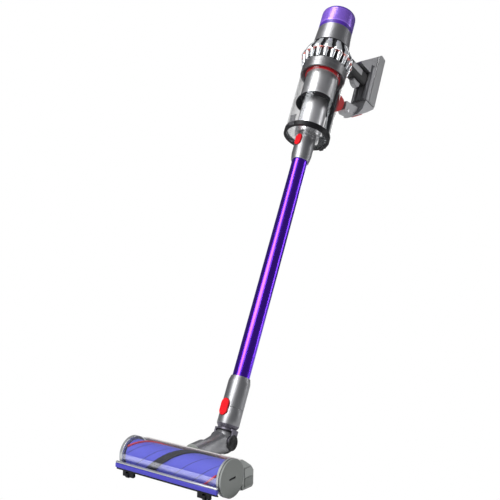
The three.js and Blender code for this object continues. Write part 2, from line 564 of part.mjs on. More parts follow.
function battery() {
  const section = new THREE.Shape();
  const back = BATTERY_BACK_R;
  section.moveTo(-BATTERY_HALF, DOCK_R + GAP);
  section.lineTo(BATTERY_HALF, DOCK_R + GAP);
  section.absarc(BATTERY_HALF - 5, back - 5, 5, 0, 90 * RAD, false);
  section.absarc(5 - BATTERY_HALF, back - 5, 5, 90 * RAD, 180 * RAD, false);
  const body = prism(section, DOCK_LOW_S, BATTERY_TOP_S + 2);
  const front = slab([[150, 1115], [176, BATTERY_TOP_S], [176, 1160], [150, 1160]], -40, 40);
  const rearTop = slab([[175.9, BATTERY_TOP_S], [205, 1134.7], [205, 1160], [175.9, 1160]], -40, 40);
  add(upper, 'battery_pack', cut(body, front, rearTop), GUNMETAL);
}
const RELEASE = { y: 162, s: 934.6, slope: 43.4 }; // middle of the battery release, on the foot's underside

function releaseSolid(width, height, front, back) {
  return oval(width, height, 0, front, back).rotateX((90 + RELEASE.slope) * RAD).translate(0, RELEASE.y, RELEASE.s);
}
function foot() {
  const strut = slab([[97, 934], [154, 948], [154, 930], [140, 913], [122, 908], [106, 903], [98, 908]], -12, 12);
  const shoe = slab([[152, 944], [157, DOCK_LOW_S - GAP], [196.5, DOCK_LOW_S - GAP], [196.5, 971], [173, 945], [146, 919.5],
    [138, 917]], -24, 24);
  const bridge = block([-15, -9.5], [64, 102], [921, 932]);
  const rail = block([-8, 8], [50, 66], [803, 965]);
  const railBody = cut(join(rail, block([-15, 8], [60, 66], [921, 932])), rod(COLLAR_R + GAP, 700, 1000, 40));
  const pinHole = rodX(4.3, -30, 30, 24).translate(0, 110, 911);
  const room = releaseSolid(23.4, 37.4, -30, 4.6);
  const bridgeEnd = block([-20, 0], [60, 66 + GAP], [900, 940]);
  add(upper, 'handle_foot', cut(join(strut, shoe, cut(bridge, rail)), pinHole, room, bridgeEnd), GUNMETAL);
  add(upper, 'bin_rail', railBody, BLACK);
  add(upper, 'strut_pin', rodX(4, -14, 14, 24).translate(0, 110, 911), CHROME);
  add(upper, 'battery_release', releaseSolid(22, 36, -2.4, 2), RED);
  const lever = slab([[67, 889], [75, 886], [87, 898], [94, 912], [95.5, 925], [90, 934], [78, 938], [67, 935]], -8, 8);
  add(upper, 'bin_lever', lever, RED);
}
grip();
dock();
battery();
foot();

// The grip's centre, seen from the point on the floor under the roller, is the origin.
vacuum.updateMatrixWorld(true);
const hold = upper.localToWorld(new THREE.Vector3(0, GRIP_CENTRE_R, GRIP_CENTRE_S));
floor.position.copy(hold).negate();

export default vacuum;
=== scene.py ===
"""A cordless stick vacuum standing on its cleaner head, dressed for rendering."""
import json
import math

import bmesh
import bpy
from mathutils import Matrix, Vector


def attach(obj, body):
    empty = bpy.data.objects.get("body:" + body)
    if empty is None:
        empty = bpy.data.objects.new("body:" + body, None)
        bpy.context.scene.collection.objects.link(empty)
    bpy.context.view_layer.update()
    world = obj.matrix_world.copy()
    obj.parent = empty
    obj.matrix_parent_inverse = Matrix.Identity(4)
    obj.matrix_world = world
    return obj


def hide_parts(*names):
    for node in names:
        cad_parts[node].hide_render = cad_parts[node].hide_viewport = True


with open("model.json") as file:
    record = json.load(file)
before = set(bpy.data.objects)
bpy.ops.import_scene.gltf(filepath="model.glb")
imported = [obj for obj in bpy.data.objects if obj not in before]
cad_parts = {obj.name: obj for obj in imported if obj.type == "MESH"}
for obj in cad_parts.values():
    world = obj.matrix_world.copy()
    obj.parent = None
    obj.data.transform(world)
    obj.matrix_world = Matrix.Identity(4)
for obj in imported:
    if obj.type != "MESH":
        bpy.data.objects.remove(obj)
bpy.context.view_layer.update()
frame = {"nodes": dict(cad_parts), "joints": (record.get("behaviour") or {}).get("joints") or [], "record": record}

MM = 0.001
NODES = frame["nodes"]
JOINTS = {joint["name"]: joint for joint in frame["joints"]}
MOUNTS = {mount["name"]: mount for mount in frame["record"]["mounts"]}
BODY_OF = {n: b for b, ns in frame["record"]["behaviour"]["bodies"].items() for n in ns}
SLOT_OF = {p["node"]: p["material_slot"] for p in frame["record"]["subparts"]}


# ------------------------------------------------------------ places
def axes_matrix(origin, x, y, z):
    """Carries a point in millimetres on these axes into the frame, in metres."""
    turn = Matrix((x, y, z)).transposed().to_4x4()
    return Matrix.Translation(origin) @ turn @ Matrix.Scale(MM, 4)


ALONG = Vector(JOINTS["neck_swivel"]["axis"]).normalized()  # up the wand
BACK = Vector(MOUNTS["hand_grip"]["axis"]).normalized()  # from the wand to the battery
ACROSS = BACK.cross(ALONG).normalized()
ELBOW = Vector(JOINTS["elbow_pitch"]["pos_m"])
ROLLER = Vector(JOINTS["brush_spin"]["pos_m"])
WAND = axes_matrix(ELBOW, ACROSS, BACK, ALONG)  # across, towards the handle, up the wand
HEAD = axes_matrix(ROLLER, Vector((1, 0, 0)), Vector((0, 1, 0)), Vector((0, 0, 1)))
JOINT = axes_matrix(ELBOW, Vector((1, 0, 0)), Vector((0, 1, 0)), Vector((0, 0, 1)))
ABOUT_X = Matrix.Rotation(math.radians(90), 4, "Y")  # turns a lathe's axis to +X
FLOOR_Z = MOUNTS["sole_glide"]["pos_m"][2] - 0.7 * MM  # just clear of the glide
HELIX_TURNS = 1450 / 360  # turns of the wound rows in a metre of roller
LIGHT_PASSED = 0.95  # the share of light that clear plastic lets by
CUT_SCALE = 0.1  # pockets are cut in shapes of this scale

# ------------------------------------------------------------ shader groups
FLOAT, COLOR, VECTOR = "NodeSocketFloat", "NodeSocketColor", "NodeSocketVector"


def new_group(name, inputs, outputs):
    group = bpy.data.node_groups.new(name, "ShaderNodeTree")
    for label, kind, value in inputs:
        socket = group.interface.new_socket(name=label, in_out="INPUT", socket_type=kind)
        if value is not None:
            socket.default_value = value
    for label, kind in outputs:
        group.interface.new_socket(name=label, in_out="OUTPUT", socket_type=kind)
    return group, group.nodes.new("NodeGroupInput"), group.nodes.new("NodeGroupOutput")


def add_math(tree, operation, *values, kind="ShaderNodeMath"):
    """Adds a math node fed by sockets or plain numbers, and gives back its result."""
    node = tree.nodes.new(kind)
    node.operation = operation
    for socket, value in zip(node.inputs, values):
        if isinstance(value, bpy.types.NodeSocket):
            tree.links.new(value, socket)
        else:
            socket.default_value = value
    return node.outputs[0]


def make_moulded():
    """Fine moulded grain: faint colour drift, a little roughness change and a micro bump."""
    inputs = [("Base", COLOR, (0.5, 0.5, 0.5, 1)), ("Drift", FLOAT, 0.06), ("Grain per m", FLOAT, 900.0),
              ("Roughness", FLOAT, 0.4), ("Rough change", FLOAT, 0.08), ("Bump", FLOAT, 0.15)]
    outputs = [("Color", COLOR), ("Roughness", FLOAT), ("Normal", VECTOR)]
    group, source, sink = new_group("moulded_grain", inputs, outputs)
    nodes, links = group.nodes, group.links
    place = nodes.new("ShaderNodeTexCoord")
    grain = nodes.new("ShaderNodeTexNoise")
    grain.inputs["Detail"].default_value = 3
    links.new(place.outputs["Object"], grain.inputs["Vector"])
    links.new(source.outputs["Grain per m"], grain.inputs["Scale"])
    cloud = nodes.new("ShaderNodeTexNoise")
    cloud.inputs["Scale"].default_value = 28
    cloud.inputs["Detail"].default_value = 5
    links.new(place.outputs["Object"], cloud.inputs["Vector"])
    centred = add_math(group, "SUBTRACT", cloud.outputs["Fac"], 0.5)
    drift = add_math(group, "MULTIPLY_ADD", centred, source.outputs["Drift"], 1)
    tint = nodes.new("ShaderNodeVectorMath")
    tint.operation = "SCALE"
    links.new(source.outputs["Base"], tint.inputs[0])
    links.new(drift, tint.inputs["Scale"])
    links.new(tint.outputs[0], sink.inputs["Color"])
    rough = add_math(group, "MULTIPLY_ADD", centred, source.outputs["Rough change"], source.outputs["Roughness"])
    links.new(rough, sink.inputs["Roughness"])
    bump = nodes.new("ShaderNodeBump")
    bump.inputs["Distance"].default_value = 0.0001
    links.new(source.outputs["Bump"], bump.inputs["Strength"])
    links.new(grain.outputs["Fac"], bump.inputs["Height"])
    links.new(bump.outputs["Normal"], sink.inputs["Normal"])
    return group


def make_helix():
    """A mask of lines wound round the roller: 0 between them and 1 on them."""
    inputs = [("Lines", FLOAT, 5.0), ("Turns per m", FLOAT, HELIX_TURNS), ("Width", FLOAT, 0.04),
              ("Centre", VECTOR, (0, 0, 0))]
    group, source, sink = new_group("wound_lines", inputs, [("Mask", FLOAT)])
    place = group.nodes.new("ShaderNodeTexCoord")
    local = add_math(group, "SUBTRACT", place.outputs["Object"], source.outputs["Centre"],
                     kind="ShaderNodeVectorMath")
    split = group.nodes.new("ShaderNodeSeparateXYZ")
    group.links.new(local, split.inputs[0])
    angle = add_math(group, "ARCTAN2", split.outputs["Z"], split.outputs["Y"])
    turns = add_math(group, "DIVIDE", angle, math.tau)
    wound = add_math(group, "MULTIPLY_ADD", split.outputs["X"], source.outputs["Turns per m"], turns)
    wave = add_math(group, "FRACT", add_math(group, "MULTIPLY", wound, source.outputs["Lines"]))
    line = add_math(group, "LESS_THAN", wave, source.outputs["Width"])
    group.links.new(line, sink.inputs["Mask"])
    return group


MOULDED = make_moulded()
WOUND = make_helix()


# ------------------------------------------------------------ materials
def principled(name, **settings):
    material = bpy.data.materials.new(name)
    material.use_nodes = True
    shader = material.node_tree.nodes["Principled BSDF"]
    for socket, value in settings.items():
        shader.inputs[socket.replace("_", " ")].default_value = value
    return material, shader


def grained(name, color, roughness, grain, bump, drift, change, **settings):
    """A material that takes its colour, roughness and normal from the moulded grain."""
    material, shader = principled(name, **settings)
    group = material.node_tree.nodes.new("ShaderNodeGroup")
    group.node_tree = MOULDED
    values = {"Base": (*color, 1), "Drift": drift, "Grain per m": grain, "Roughness": roughness,
              "Rough change": change, "Bump": bump}
    for socket, value in values.items():
        group.inputs[socket].default_value = value
    for given, taken in (("Color", "Base Color"), ("Roughness", "Roughness"), ("Normal", "Normal")):
        material.node_tree.links.new(group.outputs[given], shader.inputs[taken])
    return material, shader


def finish(name, color, roughness, grain=900.0, bump=0.15, drift=0.08, **settings):
    return grained(name, color, roughness, grain, bump, drift, 0.08, **settings)[0]


def see_through(name, color, alpha, roughness=0.03, blend=0.3, **settings):
    """Clear plastic: light passes nearly all of it, and its edges turn more solid than its middle."""
    material, shader = grained(name, color, roughness, 60.0, 0.02, 0.12, 0.01, IOR=1.45, **settings)
    tree = material.node_tree
    facing = tree.nodes.new("ShaderNodeLayerWeight")
    facing.inputs["Blend"].default_value = blend
    thick = tree.nodes.new("ShaderNodeMapRange")
    thick.inputs["To Min"].default_value = alpha[0]
    thick.inputs["To Max"].default_value = alpha[1]
    tree.links.new(facing.outputs["Facing"], thick.inputs["Value"])
    path = tree.nodes.new("ShaderNodeLightPath")
    lit = add_math(tree, "MULTIPLY_ADD", path.outputs["Is Shadow Ray"], -LIGHT_PASSED, 1)
    tree.links.new(add_math(tree, "MULTIPLY", thick.outputs[0], lit), shader.inputs["Alpha"])
    return material


def nap(name, color, line_color):
    """The roller's soft pile, with darker wound rows."""
    material, shader = principled(name, Roughness=0.6, Sheen_Weight=0.12, Sheen_Roughness=0.4)
    nodes, links = material.node_tree.nodes, material.node_tree.links
    rows = nodes.new("ShaderNodeGroup")
    rows.node_tree = WOUND
    for socket, value in {"Lines": 5, "Turns per m": HELIX_TURNS, "Width": 0.04, "Centre": ROLLER}.items():
        rows.inputs[socket].default_value = value
    pile = nodes.new("ShaderNodeTexNoise")
    pile.inputs["Scale"].default_value = 1600
    place = nodes.new("ShaderNodeTexCoord")
    links.new(place.outputs["Object"], pile.inputs["Vector"])
    mix = nodes.new("ShaderNodeMix")
    mix.data_type = "RGBA"
    mix.inputs["A"].default_value = (*color, 1)
    mix.inputs["B"].default_value = (*line_color, 1)
    links.new(rows.outputs["Mask"], mix.inputs["Factor"])
    links.new(mix.outputs["Result"], shader.inputs["Base Color"])
    bump = nodes.new("ShaderNodeBump")
    bump.inputs["Strength"].default_value = 0.6
    bump.inputs["Distance"].default_value = 0.0004
    links.new(pile.outputs["Fac"], bump.inputs["Height"])
    links.new(bump.outputs["Normal"], shader.inputs["Normal"])
    return material


GUNMETAL = finish("gunmetal_shell", (0.27, 0.27, 0.28), 0.4, Metallic=0.9)
NECK_GREY = finish("neck_violet_grey", (0.12, 0.112, 0.14), 0.42, Metallic=0.7)
COLLAR_GREY = finish("collar_grey", (0.2, 0.2, 0.205), 0.36, Metallic=0.9)
SILVER = finish("silver_shell", (0.68, 0.68, 0.69), 0.36, Metallic=0.85)
STEEL = finish("turned_steel", (0.62, 0.62, 0.64), 0.25, grain=400, Metallic=1.0)
NICKEL = finish("plated_shell", (0.85, 0.87, 0.89), 0.26, bump=0.05, Metallic=0.75)
PALE = finish("pale_shell", (0.36, 0.36, 0.37), 0.42, Metallic=0.45)
BATTERY_GREY = finish("battery_shell", (0.3, 0.3, 0.305), 0.42, Metallic=0.5)
BLACK = finish("black_shell", (0.006, 0.006, 0.007), 0.42, Specular_IOR_Level=0.15)
SOFT_BLACK = finish("soft_black", (0.014, 0.014, 0.015), 0.55, grain=1500, bump=0.4)
BRISTLE = finish("grey_black_bristle", (0.018, 0.018, 0.02), 0.7, grain=2500, bump=0.9, drift=0.8,
                 Specular_IOR_Level=0.2)
RED_BRISTLE = finish("red_bristle", (0.5, 0.01, 0.03), 0.6, grain=2500, bump=0.9, drift=0.5)
RED = finish("red_shell", (0.58, 0.004, 0.01), 0.45, Specular_IOR_Level=0.3)
PURPLE = finish("anodised_purple", (0.16, 0.04, 0.8), 0.22, grain=2000, bump=0.06, Metallic=1.0)
PAPER = finish("filter_paper", (0.75, 0.7, 0.85), 0.9, grain=1200, bump=0.5)
COPPER = finish("copper", (0.65, 0.2, 0.17), 0.3, Metallic=1.0)
GLASS_BLACK = finish("screen_glass", (0.004, 0.004, 0.006), 0.06, bump=0.0, Coat_Weight=1.0)
STONE = finish("grey_green_shell", (0.17, 0.182, 0.17), 0.4, Metallic=0.2)
PALE_STONE = finish("pale_green_shell", (0.27, 0.285, 0.27), 0.36, Metallic=0.2)
RIM_SILVER = finish("rim_silver", (0.42, 0.43, 0.44), 0.3, Metallic=0.7)
PALE_EDGE = finish("pale_edge", (0.62, 0.6, 0.58), 0.4)
ROSE_BROWN = finish("rose_brown_teeth", (0.2, 0.11, 0.11), 0.6)
# painted shade for the inside of the end cap's coin slot
SLOT_SHADE = finish("painted_slot_shade", (0.012, 0.013, 0.012), 0.6)
VIOLET = finish("blue_violet_strip", (0.03, 0.025, 0.31), 0.5)
DEEP_VIOLET = finish("deep_violet_mesh", (0.05, 0.012, 0.25), 0.4)
LAVENDER = nap("lavender_nap", (0.075, 0.08, 0.5), (0.01, 0.01, 0.07))
CLEAR = see_through("clear_shell", (0.24, 0.25, 0.26), (0.01, 0.42), 0.08, Metallic=1.0)
COVER = see_through("clear_cover", (0.88, 0.89, 0.95), (0.11, 0.4), Metallic=1.0)
SMOKE = see_through("dark_rib", (0.06, 0.06, 0.065), (0.35, 0.9))
TINTED = see_through("violet_shell", (0.36, 0.2, 0.84), (0.8, 0.99), 0.3, Metallic=0.5)

SLOT_LOOK = {
    "gunmetal": GUNMETAL, "battery": BATTERY_GREY, "steel": STEEL, "pale": PALE, "black": BLACK,
    "soft_black": SOFT_BLACK, "bristle": BRISTLE, "red_bristle": RED_BRISTLE, "red": RED, "copper": COPPER,
    "screen": GLASS_BLACK, "stone": STONE, "violet": VIOLET,
}
NODE_LOOK = {
    "roller_cover": COVER, "lid_catch": SMOKE, "battery_dock": GUNMETAL, "handle_foot": PALE,
    "chassis": PALE_STONE, "yoke": NECK_GREY, "front_lip": BLACK, "front_rail": RIM_SILVER,
    "right_end_plate": RIM_SILVER, "left_end_plate": RIM_SILVER,
}


# ------------------------------------------------------------ mesh tools
def add_piece(name, mesh, material, body, replaces=()):
    piece = bpy.data.objects.new(name, mesh)
    bpy.context.scene.collection.objects.link(piece)
    if material:
        mesh.materials.clear()
        mesh.materials.append(material)
    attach(piece, body)
    if replaces:
        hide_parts(*replaces)
    return piece


def smooth(mesh, degrees=35):
    mesh.shade_smooth()
    mesh.set_sharp_from_angle(angle=math.radians(degrees))


def bevelled(piece, width, segments=2):
    bevel = piece.modifiers.new("edges", "BEVEL")
    bevel.width = width * MM
    bevel.segments = segments
    bevel.limit_method = "ANGLE"
    bevel.angle_limit = math.radians(38)
    return piece


def dressed(node, bevel=0.0, segments=2):
    """A clean, merged and softly edged stand-in for a CAD node."""
    mesh = NODES[node].data.copy()
    work = bmesh.new()
    work.from_mesh(mesh)
    bmesh.ops.remove_doubles(work, verts=work.verts, dist=1e-6)
    bmesh.ops.dissolve_limit(work, angle_limit=math.radians(0.6), verts=work.verts, edges=work.edges)
    work.to_mesh(mesh)
    work.free()
    smooth(mesh)
    look = NODE_LOOK.get(node) or SLOT_LOOK[SLOT_OF[node]]
    piece = add_piece(node + "_shell", mesh, look, BODY_OF[node], (node,))
    return bevelled(piece, bevel, segments) if bevel else piece


def two_tone(piece, place, look, chosen):
    """Gives another finish to the faces that the rule picks by their middles, in millimetres."""
    mesh = piece.data
    mesh.materials.append(look)
    back = place.inverted()
    for face in mesh.polygons:
        if chosen(back @ face.center):
            face.material_index = len(mesh.materials) - 1
    return piece


def lathe_mesh(name, points, place, segments=112):
    """A closed ring or a solid turned about local Z from [radius, height] points, in millimetres."""
    mesh = bpy.data.meshes.new(name)
    work = bmesh.new()
    rings = []
    for radius, height in points:
        if radius == 0:
            rings.append([work.verts.new((0, 0, height))])
            continue
        turns = [math.tau * i / segments for i in range(segments)]
        rings.append([work.verts.new((radius * math.cos(a), radius * math.sin(a), height)) for a in turns])
    closed = points[0][0] != 0
    pairs = list(zip(rings, rings[1:])) + ([(rings[-1], rings[0])] if closed else [])
    for low, high in pairs:
        for i in range(segments):
            j = (i + 1) % segments
            corners = [low[i % len(low)], low[j % len(low)], high[j % len(high)], high[i % len(high)]]
            work.faces.new(list(dict.fromkeys(corners)))
    work.normal_update()
    work.to_mesh(mesh)
    work.free()
    mesh.transform(place)
    smooth(mesh)
    return mesh


def lathe(name, points, material, body, replaces=(), place=WAND, segments=112, bevel=0.0):
    piece = add_piece(name, lathe_mesh(name, points, place, segments), material, body, replaces)
    if bevel:
        bevelled(piece, bevel)
    return piece


def tube_points(outer, inner, low, high):
    return [(inner, low), (outer, low), (outer, high), (inner, high)]


def block_mesh(name, low, high, place=None):
    mesh = bpy.data.meshes.new(name)
    work = bmesh.new()
    bmesh.ops.create_cube(work, size=1)
    for vert in work.verts:
        vert.co = Vector([lo + (hi - lo) * (c + 0.5) for lo, hi, c in zip(low, high, vert.co)])
    work.to_mesh(mesh)
    work.free()
    if place:
        mesh.transform(place)
    return mesh


# ------------------------------------------------------------ repeated shapes
def make_repeat_tree():
    """Copies a shape round and along local Z: so many to a turn, and so many rows."""
    tree = bpy.data.node_groups.new("repeat_round_axis", "GeometryNodeTree")
    face = tree.interface
    for label, kind, value in [("Geometry", "NodeSocketGeometry", None), ("Shape", "NodeSocketObject", None),
                               ("Per turn", "NodeSocketInt", 1), ("Rows", "NodeSocketInt", 1),
                               ("Row rise", FLOAT, 0.0), ("Row turn", FLOAT, 0.0),
                               ("Finish", "NodeSocketMaterial", None)]:
        socket = face.new_socket(name=label, in_out="INPUT", socket_type=kind)
        if value is not None:
            socket.default_value = value
    face.new_socket(name="Geometry", in_out="OUTPUT", socket_type="NodeSocketGeometry")
    nodes, links = tree.nodes, tree.links
    whole = "FunctionNodeIntegerMath"
    source = nodes.new("NodeGroupInput")
    per_turn = source.outputs["Per turn"]
    line = nodes.new("GeometryNodeMeshLine")
    line.inputs["Offset"].default_value = (0, 0, 0)
    links.new(add_math(tree, "MULTIPLY", per_turn, source.outputs["Rows"], kind=whole), line.inputs["Count"])
    index = nodes.new("GeometryNodeInputIndex").outputs[0]
    row = add_math(tree, "DIVIDE_FLOOR", index, per_turn, kind=whole)
    column = add_math(tree, "MODULO", index, per_turn, kind=whole)
    share = add_math(tree, "DIVIDE", add_math(tree, "MULTIPLY", column, math.tau), per_turn)
    twist = add_math(tree, "MULTIPLY", row, source.outputs["Row turn"])
    place = nodes.new("ShaderNodeCombineXYZ")
    links.new(add_math(tree, "MULTIPLY", row, source.outputs["Row rise"]), place.inputs["Z"])
    turn = nodes.new("ShaderNodeCombineXYZ")
    links.new(add_math(tree, "ADD", share, twist), turn.inputs["Z"])
    move = nodes.new("GeometryNodeSetPosition")
    links.new(line.outputs["Mesh"], move.inputs["Geometry"])
    links.new(place.outputs[0], move.inputs["Position"])
    shape = nodes.new("GeometryNodeObjectInfo")
    links.new(source.outputs["Shape"], shape.inputs["Object"])
    copies = nodes.new("GeometryNodeInstanceOnPoints")
    links.new(move.outputs[0], copies.inputs["Points"])
    links.new(shape.outputs["Geometry"], copies.inputs["Instance"])
    links.new(turn.outputs[0], copies.inputs["Rotation"])
    real = nodes.new("GeometryNodeRealizeInstances")
    links.new(copies.outputs[0], real.inputs[0])
    paint = nodes.new("GeometryNodeSetMaterial")
    links.new(real.outputs[0], paint.inputs["Geometry"])
    links.new(source.outputs["Finish"], paint.inputs["Material"])
    sink = nodes.new("NodeGroupOutput")
    links.new(paint.outputs[0], sink.inputs["Geometry"])
    return tree


REPEAT = make_repeat_tree()
SOCKET = {item.name: item.identifier for item in REPEAT.interface.items_tree if item.in_out == "INPUT"}


def repeated(name, shape, material, body, place, per_turn=1, rows=1, rise=0.0, turn=0.0, replaces=()):
    """The shape, a mesh in millimetres, copied by the tree and baked to a plain mesh."""
    pattern = bpy.data.objects.new(name + "_pattern", shape)
    holder = bpy.data.objects.new(name + "_holder", bpy.data.meshes.new(name + "_holder"))
    for helper in (pattern, holder):
        bpy.context.scene.collection.objects.link(helper)
    copies = holder.modifiers.new("repeat", "NODES")
    copies.node_group = REPEAT
    for label, value in [("Shape", pattern), ("Per turn", per_turn), ("Rows", rows), ("Row rise", rise),
                         ("Row turn", math.radians(turn)), ("Finish", material)]:
        copies[SOCKET[label]] = value
    bpy.context.view_layer.update()
    seen = holder.evaluated_get(bpy.context.evaluated_depsgraph_get())
    mesh = bpy.data.meshes.new_from_object(seen)
    for helper in (pattern, holder):
        bpy.data.objects.remove(helper)
    mesh.transform(place)
    smooth(mesh)
    return add_piece(name, mesh, material, body, replaces)


def pocketed(name, points, body, node, cutter):
    """A turned gunmetal shell on the wand's axis, with a pocket cut out of it."""
    small = Matrix.Scale(CUT_SCALE, 4)
    shell = bpy.data.objects.new(name + "_blank", lathe_mesh(name + "_blank", points, small, 128))
    tool = bpy.data.objects.new(name + "_tool", cutter)
    cutter.transform(small)
    for helper in (shell, tool):
        bpy.context.scene.collection.objects.link(helper)
    cut = shell.modifiers.new("pocket", "BOOLEAN")
    cut.operation = "DIFFERENCE"
    cut.solver = "EXACT"
    cut.object = tool
    bpy.context.view_layer.update()
    mesh = bpy.data.meshes.new_from_object(shell.evaluated_get(bpy.context.evaluated_depsgraph_get()))
    for helper in (shell, tool):
        bpy.data.objects.remove(helper)
    mesh.transform(WAND @ Matrix.Scale(1 / CUT_SCALE, 4))
    smooth(mesh)
    return add_piece(name, mesh, GUNMETAL, body, (node,))


def prism_mesh(name, near, far):
    """A closed solid between two outlines with the same number of points."""
    mesh = bpy.data.meshes.new(name)
    work = bmesh.new()
    near, far = ([work.verts.new(point) for point in outline] for outline in (near, far))
    work.faces.new(near)
    work.faces.new(far[::-1])
    for i in range(len(near)):
        j = (i + 1) % len(near)
        work.faces.new([near[j], near[i], far[i], far[j]])
    bmesh.ops.recalc_face_normals(work, faces=work.faces)
    work.to_mesh(mesh)
    work.free()
    return mesh


def oval_mesh(name, width, height, middle, near, far, steps=40):
    """A rounded slot's shape across the wand, from near to far, at a height along the wand."""
    radius, straight = width / 2, (height - width) / 2
    turns = [math.tau * (i + 0.5) / steps for i in range(steps)]
    ring = [(radius * math.cos(a), middle + radius * math.sin(a) + math.copysign(straight, math.sin(a)))
            for a in turns]
    return prism_mesh(name, [(x, near, z) for x, z in ring], [(x, far, z) for x, z in ring])


def stub_mesh(name, radius, near, far, sides, taper=1.0):
    """A short round peg along local X from near to far."""
    mesh = bpy.data.meshes.new(name)
    work = bmesh.new()
    bmesh.ops.create_cone(work, cap_ends=True, segments=sides, radius1=radius, radius2=radius * taper,
                          depth=far - near)
    work.transform(Matrix.Translation(((near + far) / 2, 0, 0)) @ ABOUT_X)
    work.to_mesh(mesh)
    work.free()
    return mesh


# ------------------------------------------------------------ cleaner head
ROLL_HALF = 118
ROLL_R = 29


def cleaner_head():
    x_lathe = HEAD @ ABOUT_X
    ends = [(27, -ROLL_HALF), (ROLL_R - 0.8, -ROLL_HALF), (ROLL_R, -ROLL_HALF + 0.8), (ROLL_R, ROLL_HALF - 0.8),
            (ROLL_R - 0.8, ROLL_HALF), (27, ROLL_HALF)]
    lathe("roller_nap", ends, LAVENDER, "roller", ("roller_core",), x_lathe, 128)
    bevels = {"bristle_band": 0, "bristle_strip": 0, "left_end_plate": 1.2, "right_end_plate": 0.8,
              "front_bumper": 1.2, "front_rail": 0.8, "front_lip": 0.4, "glide": 0.5, "brush_motor": 0,
              "roller_bearing": 0, "front_wheel_left": 0.6, "front_wheel_right": 0.6, "wheel_left": 0.6,
              "wheel_right": 0.6, "roller_cover": 0, "comb": 0.2}
    for node, bevel in bevels.items():
        dressed(node, bevel)

    def coin_slot(spot):
        return 128.5 < spot.x < 130.6 and math.hypot(spot.y, spot.z) < 12

    def duct_hood(spot):
        return abs(spot.x) < 24 and spot.y > 42 and spot.z > -22

    def top_edge(spot):
        return spot.y < 33.5 and spot.z > 13

    # the coin slot's faces are painted near black: painted shade in the groove
    two_tone(dressed("end_cap", 0.6), HEAD, SLOT_SHADE, coin_slot)
    body = two_tone(dressed("chassis", 1.0), HEAD, GUNMETAL, duct_hood)
    two_tone(body, HEAD, PALE_EDGE, top_edge)
    for side, near in (("left", -111), ("right", 82)):
        guard = block_mesh("guard", (near, -36.4, -32.6), (near + 29, -34.6, -22), HEAD)
        bevelled(add_piece("wheel_guard_" + side, guard, BLACK, "head"), 0.4)
    lathe("cap_seam", tube_points(35.25, 33, 125.4, 126.1), BLACK, "head", (), x_lathe, 96)
    # the thin silver ring round the end cap's edge is a painted highlight
    rim = tube_points(35.3, 34.5, 129.6, 130.2)
    lathe("cap_rim", rim, RIM_SILVER, "end_cap", (), x_lathe, 96)
    sides = (("side_upper", PALE_STONE, 8, -9, 58), ("side_lower", STONE, -10.5, -27, 65))
    for name, look, high, low, depth in sides:
        for side, near in (("right", 129), ("left", -130.2)):
            panel = block_mesh(name, (near, 39, low), (near + 1.2, depth, high), HEAD)
            bevelled(add_piece(name + "_" + side, panel, look, "head"), 0.5)
    tooth = block_mesh("tooth", (-0.6, 24.6, 22), (0.6, 25.3, 27.4), ABOUT_X.inverted())
    repeated("comb_teeth", tooth, ROSE_BROWN, "head", x_lathe @ Matrix.Translation((0, 0, -110)),
             rows=74, rise=3)


# ------------------------------------------------------------ neck and wand
def neck_and_wand():
    for node in ("lower_duct", "yoke", "elbow_pin"):
        dressed(node, 0.35)
    socket = [(13.2, 24.2), (15.6, 24.2), (15.6, 26.4), (19.9, 26.4), (20.3, 26.8), (24.2, 33.4), (24.5, 34.2),
              (24.5, 69), (24.1, 69.6), (21.2, 69.6), (21.2, 37), (17.5, 33.5)]
    neck = pocketed("neck_socket_shell", socket, "neck", "neck_socket",
                    oval_mesh("low_pocket", 23, 38, 67.5, -40, -20.85))
    two_tone(neck, WAND, NECK_GREY, lambda spot: spot.z < 34.1)
    low_cuff = [(17.5, 38), (20.8, 38), (20.8, 70), (24.1, 70), (24.5, 70.5), (24.5, 125.5), (24.3, 127),
                (21.8, 137), (21.4, 137.8), (19.6, 137.8), (19.6, 118), (17.5, 118)]
    pocketed("lower_cuff_shell", low_cuff, "wand", "lower_cuff",
             oval_mesh("low_pocket", 23, 38, 67.5, -40, -20.85))
    high_cuff = [(19.6, 687.2), (21.6, 687.2), (22.2, 687.8), (24.8, 704), (25, 705.5), (25, 749),
                 (24.8, 750.2), (23.8, 755.4), (23.2, 756), (20.8, 756), (20.8, 712.3), (19.6, 712.3)]
    pocketed("upper_cuff_shell", high_cuff, "wand", "upper_cuff",
             oval_mesh("high_pocket", 19.4, 31.4, 738, -40, -21.5))
    for node in ("head_latch", "wand_latch"):
        dressed(node, 1.1, segments=3)
    dressed("bellows")
    ridges = [(0, 24.4), (16.4, 24.4), (16.4, 25)]
    for radius in (15, 12.2, 9.4, 6.6, 3.8):
        ridges += [(radius + 0.8, 25), (radius + 0.3, 25.9), (radius - 0.3, 25.9), (radius - 0.8, 25)]
    ridges += [(0, 25)]
    mirrored = [(radius, -across) for radius, across in reversed(ridges)]
    for name, points in (("elbow_ribs_right", ridges), ("elbow_ribs_left", mirrored)):
        lathe(name, points, SOFT_BLACK, "yoke", (), JOINT @ ABOUT_X, 72)
    tube = tube_points(19.3, 17.5, 118.3, 712)
    lathe("wand_tube_shell", tube, PURPLE, "wand", ("wand_tube",), segments=128)


